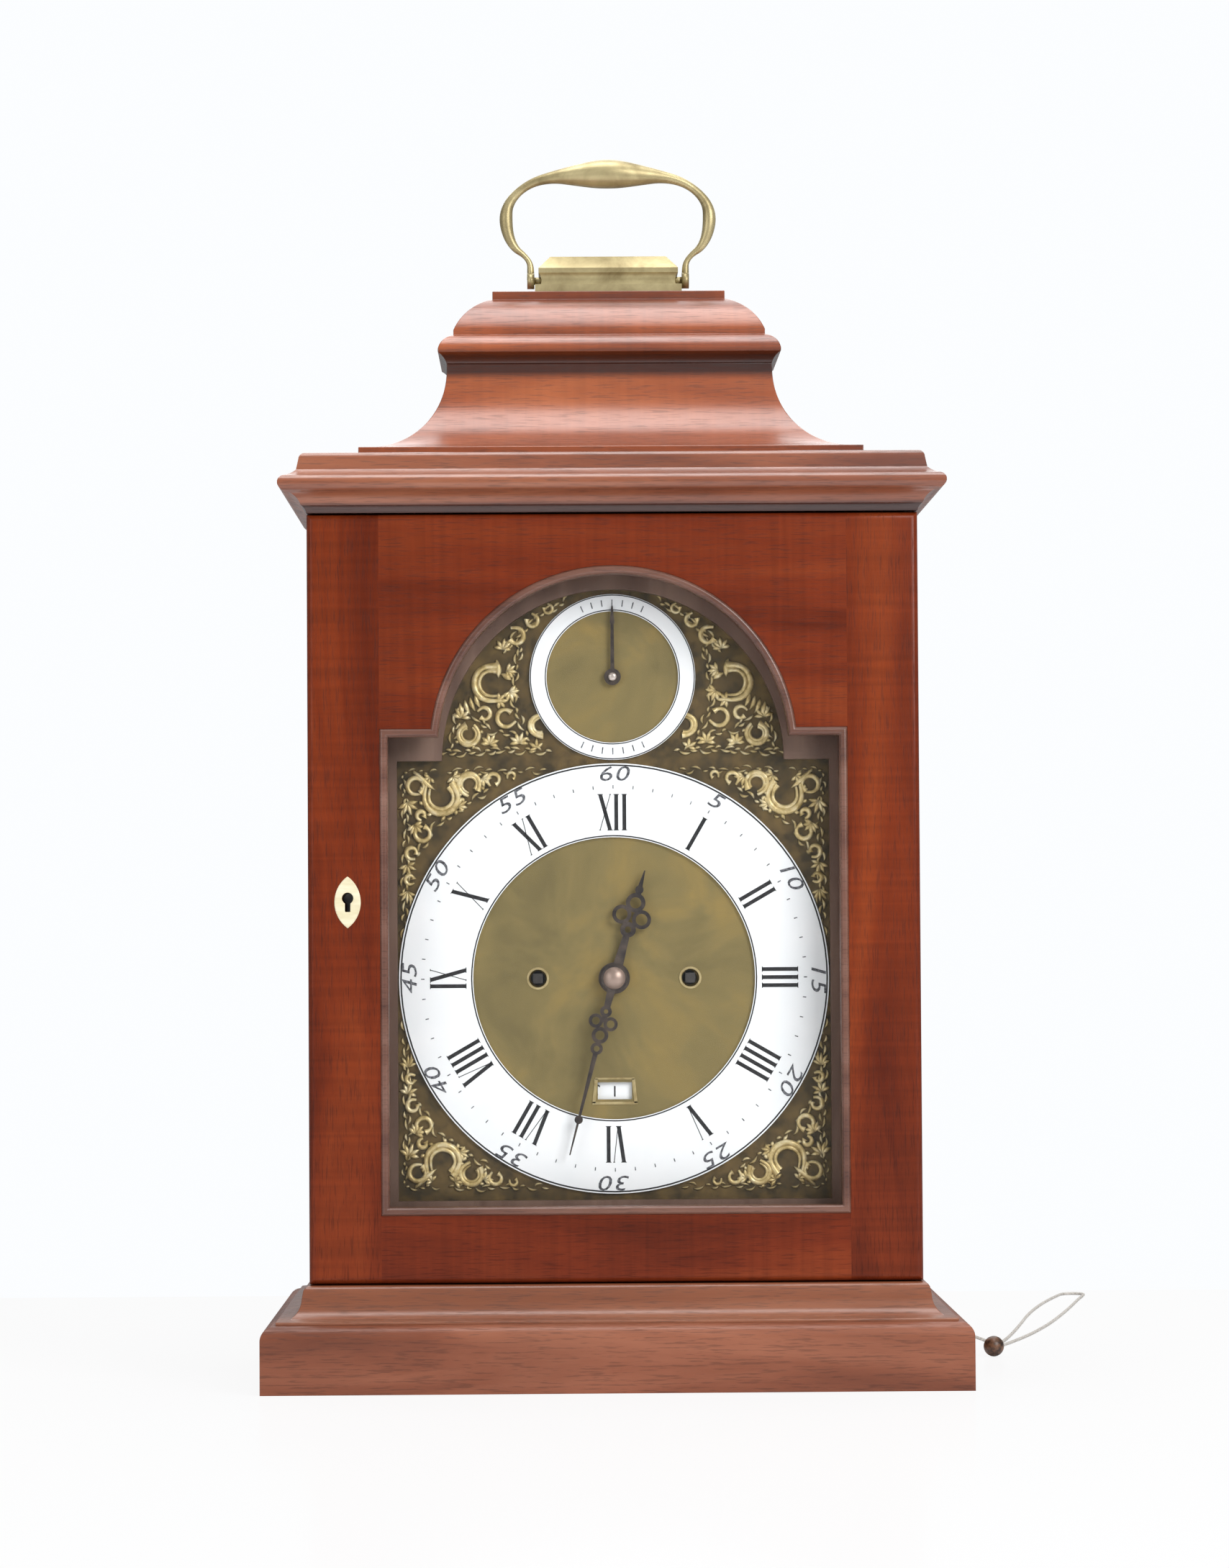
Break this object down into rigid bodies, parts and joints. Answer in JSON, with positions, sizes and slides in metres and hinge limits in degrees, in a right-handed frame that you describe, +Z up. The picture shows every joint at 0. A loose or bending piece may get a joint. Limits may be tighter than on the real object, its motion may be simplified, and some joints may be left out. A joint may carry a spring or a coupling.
{
  "type": "bracket clock",
  "caption": "Bell-top mahogany bracket clock with glazed break-arch door, gilt spandrels, fusee movement, bell, carrying handle and pull-repeat cord.",
  "frame": {"origin": "middle of the plinth's underside", "axes": "+Z up, -Y out of the dial, +X to the right seen from the front"},
  "size_m": [0.3843, 0.4971, 0.5124],
  "materials": {
    "mahogany": "french polished",
    "carcase_wood": "oiled oak",
    "brass": "satin",
    "gilt_brass": "gilt casting",
    "bell_metal": "turned",
    "silvered_brass": "silvered",
    "blued_steel": "blued",
    "steel": "polished",
    "glass": "clear",
    "bone": "polished bone",
    "cord": "woven",
    "bead_wood": "turned"
  },
  "bodies": {
    "case": {"base_plinth": "mahogany", "base_moulding": "mahogany", "floor_board": "carcase_wood", "side_panel_left": "mahogany", "side_panel_right": "mahogany", "side_frets": "brass", "seat_board": "carcase_wood", "top_board": "carcase_wood", "cornice_moulding": "mahogany", "bell_cove": "mahogany", "bell_moulding": "mahogany", "dial_mask": "carcase_wood", "handle_block": "brass", "door_pins": "steel", "movement_front_plate": "brass", "movement_back_plate": "brass", "seat_bolts": "brass", "dial_plate": "brass", "chapter_ring": "silvered_brass", "strike_ring": "silvered_brass", "corner_spandrels": "gilt_brass", "arch_spandrels": "gilt_brass", "bell_stand": "brass", "bell": "bell_metal", "pendulum_cock": "brass", "repeat_cord": "cord", "repeat_bead": "bead_wood"},
    "front_door": {"door_stile_left": "mahogany", "door_stile_right": "mahogany", "door_rail_top": "mahogany", "door_rail_bottom": "mahogany", "door_bead": "mahogany", "door_glass": "glass", "keyhole_escutcheon": "bone", "lock_case": "brass"},
    "lock_bolt": {"lock_bolt": "steel"},
    "back_door": {"back_door_frame": "mahogany", "back_door_glass": "glass"},
    "back_catch": {"back_catch": "brass"},
    "carrying_handle": {"carrying_handle": "brass"},
    "centre_arbor": {"centre_arbor": "brass", "minute_hand": "blued_steel"},
    "hour_wheel": {"hour_wheel": "brass", "hour_hand": "blued_steel"},
    "minute_wheel": {"minute_wheel": "brass"},
    "date_ring": {"date_ring": "brass"},
    "going_fusee": {"going_fusee": "brass"},
    "going_barrel": {"going_barrel": "brass"},
    "third_wheel": {"third_wheel": "brass"},
    "escape_wheel": {"escape_wheel": "brass"},
    "strike_fusee": {"strike_fusee": "brass"},
    "strike_barrel": {"strike_barrel": "brass"},
    "pin_wheel": {"pin_wheel": "brass"},
    "gathering_wheel": {"gathering_wheel": "brass"},
    "fly": {"fly": "brass"},
    "hammer": {"hammer": "steel"},
    "pendulum": {"pallets": "steel", "pendulum": "brass"},
    "strike_hand": {"strike_hand": "blued_steel"},
    "repeat_lever": {"repeat_lever": "steel"}
  },
  "joints": [
    {"name": "front_door_hinge", "type": "hinge", "parent": "case", "child": "front_door", "pos_m": [0.1206, -0.076, 0.2], "axis": [0, 0, 1], "range_deg": [0, 120]},
    {"name": "lock_bolt_slide", "type": "slide", "parent": "front_door", "child": "lock_bolt", "axis": [-1, 0, 0], "range_m": [0, 0.004]},
    {"name": "back_door_hinge", "type": "hinge", "parent": "case", "child": "back_door", "pos_m": [-0.1087, 0.0835, 0.2], "axis": [0, 0, 1], "range_deg": [0, 110]},
    {"name": "back_catch_turn", "type": "hinge", "parent": "back_door", "child": "back_catch", "pos_m": [0.1, 0.08, 0.2], "axis": [0, 1, 0], "range_deg": [0, 90]},
    {"name": "handle_swing", "type": "hinge", "parent": "case", "child": "carrying_handle", "pos_m": [0, 0, 0.4605], "axis": [1, 0, 0], "range_deg": [-88, 88]},
    {"name": "centre_arbor_turn", "type": "hinge", "parent": "case", "child": "centre_arbor", "pos_m": [0, 0, 0.1653], "axis": [0, 1, 0], "continuous": true},
    {"name": "hour_wheel_turn", "type": "hinge", "parent": "case", "child": "hour_wheel", "pos_m": [0, 0, 0.1653], "axis": [0, 1, 0], "continuous": true},
    {"name": "minute_wheel_turn", "type": "hinge", "parent": "case", "child": "minute_wheel", "pos_m": [0, 0, 0.1443], "axis": [0, 1, 0], "continuous": true},
    {"name": "date_ring_turn", "type": "hinge", "parent": "case", "child": "date_ring", "pos_m": [0, 0, 0.1653], "axis": [0, 1, 0], "continuous": true},
    {"name": "going_fusee_turn", "type": "hinge", "parent": "case", "child": "going_fusee", "pos_m": [0.0312, 0, 0.1653], "axis": [0, 1, 0], "continuous": true},
    {"name": "going_barrel_turn", "type": "hinge", "parent": "case", "child": "going_barrel", "pos_m": [0.034, 0, 0.1109], "axis": [0, 1, 0], "continuous": true},
    {"name": "third_wheel_turn", "type": "hinge", "parent": "case", "child": "third_wheel", "pos_m": [0.00815, 0, 0.18654], "axis": [0, 1, 0], "continuous": true},
    {"name": "escape_wheel_turn", "type": "hinge", "parent": "case", "child": "escape_wheel", "pos_m": [0.00007, 0, 0.20387], "axis": [0, 1, 0], "continuous": true},
    {"name": "pin_wheel_turn", "type": "hinge", "parent": "case", "child": "pin_wheel", "pos_m": [-0.03408, 0, 0.19275], "axis": [0, 1, 0], "continuous": true},
    {"name": "strike_fusee_turn", "type": "hinge", "parent": "case", "child": "strike_fusee", "pos_m": [-0.0312, 0, 0.1653], "axis": [0, 1, 0], "continuous": true},
    {"name": "strike_barrel_turn", "type": "hinge", "parent": "case", "child": "strike_barrel", "pos_m": [-0.034, 0, 0.1109], "axis": [0, 1, 0], "continuous": true},
    {"name": "gathering_wheel_turn", "type": "hinge", "parent": "case", "child": "gathering_wheel", "pos_m": [-0.02202, 0, 0.20287], "axis": [0, 1, 0], "continuous": true},
    {"name": "fly_turn", "type": "hinge", "parent": "case", "child": "fly", "pos_m": [-0.02832, 0, 0.21378], "axis": [0, 1, 0], "continuous": true},
    {"name": "hammer_lift", "type": "hinge", "parent": "case", "child": "hammer", "pos_m": [-0.06, 0, 0.2], "axis": [0, 1, 0], "range_deg": [-12, 0], "stiffness_Nm_per_rad": 0.08, "springref_deg": 5.73},
    {"name": "pendulum_swing", "type": "hinge", "parent": "case", "child": "pendulum", "pos_m": [0, 0.027, 0.2238], "axis": [0, 1, 0], "range_deg": [-3, 3]},
    {"name": "strike_hand_turn", "type": "hinge", "parent": "case", "child": "strike_hand", "pos_m": [0, -0.064, 0.2887], "axis": [0, 1, 0], "range_deg": [0, 180]},
    {"name": "repeat_lever_pull", "type": "hinge", "parent": "case", "child": "repeat_lever", "pos_m": [0.052, -0.0513, 0.15], "axis": [0, 1, 0], "range_deg": [-14, 0], "stiffness_Nm_per_rad": 0.03, "springref_deg": 5.73}
  ],
  "couplings": [
    {"joint": "going_fusee_turn", "follows": "centre_arbor_turn", "ratio": -0.083333},
    {"joint": "going_barrel_turn", "follows": "centre_arbor_turn", "ratio": -0.054167},
    {"joint": "third_wheel_turn", "follows": "centre_arbor_turn", "ratio": -12},
    {"joint": "escape_wheel_turn", "follows": "centre_arbor_turn", "ratio": 133.71},
    {"joint": "minute_wheel_turn", "follows": "centre_arbor_turn", "ratio": -0.75},
    {"joint": "hour_wheel_turn", "follows": "centre_arbor_turn", "ratio": 0.083333},
    {"joint": "date_ring_turn", "follows": "centre_arbor_turn", "ratio": 0.0013441},
    {"joint": "strike_fusee_turn", "follows": "pin_wheel_turn", "ratio": -0.095238},
    {"joint": "strike_barrel_turn", "follows": "pin_wheel_turn", "ratio": -0.061905},
    {"joint": "gathering_wheel_turn", "follows": "pin_wheel_turn", "ratio": -8},
    {"joint": "fly_turn", "follows": "pin_wheel_turn", "ratio": 64}
  ]
}
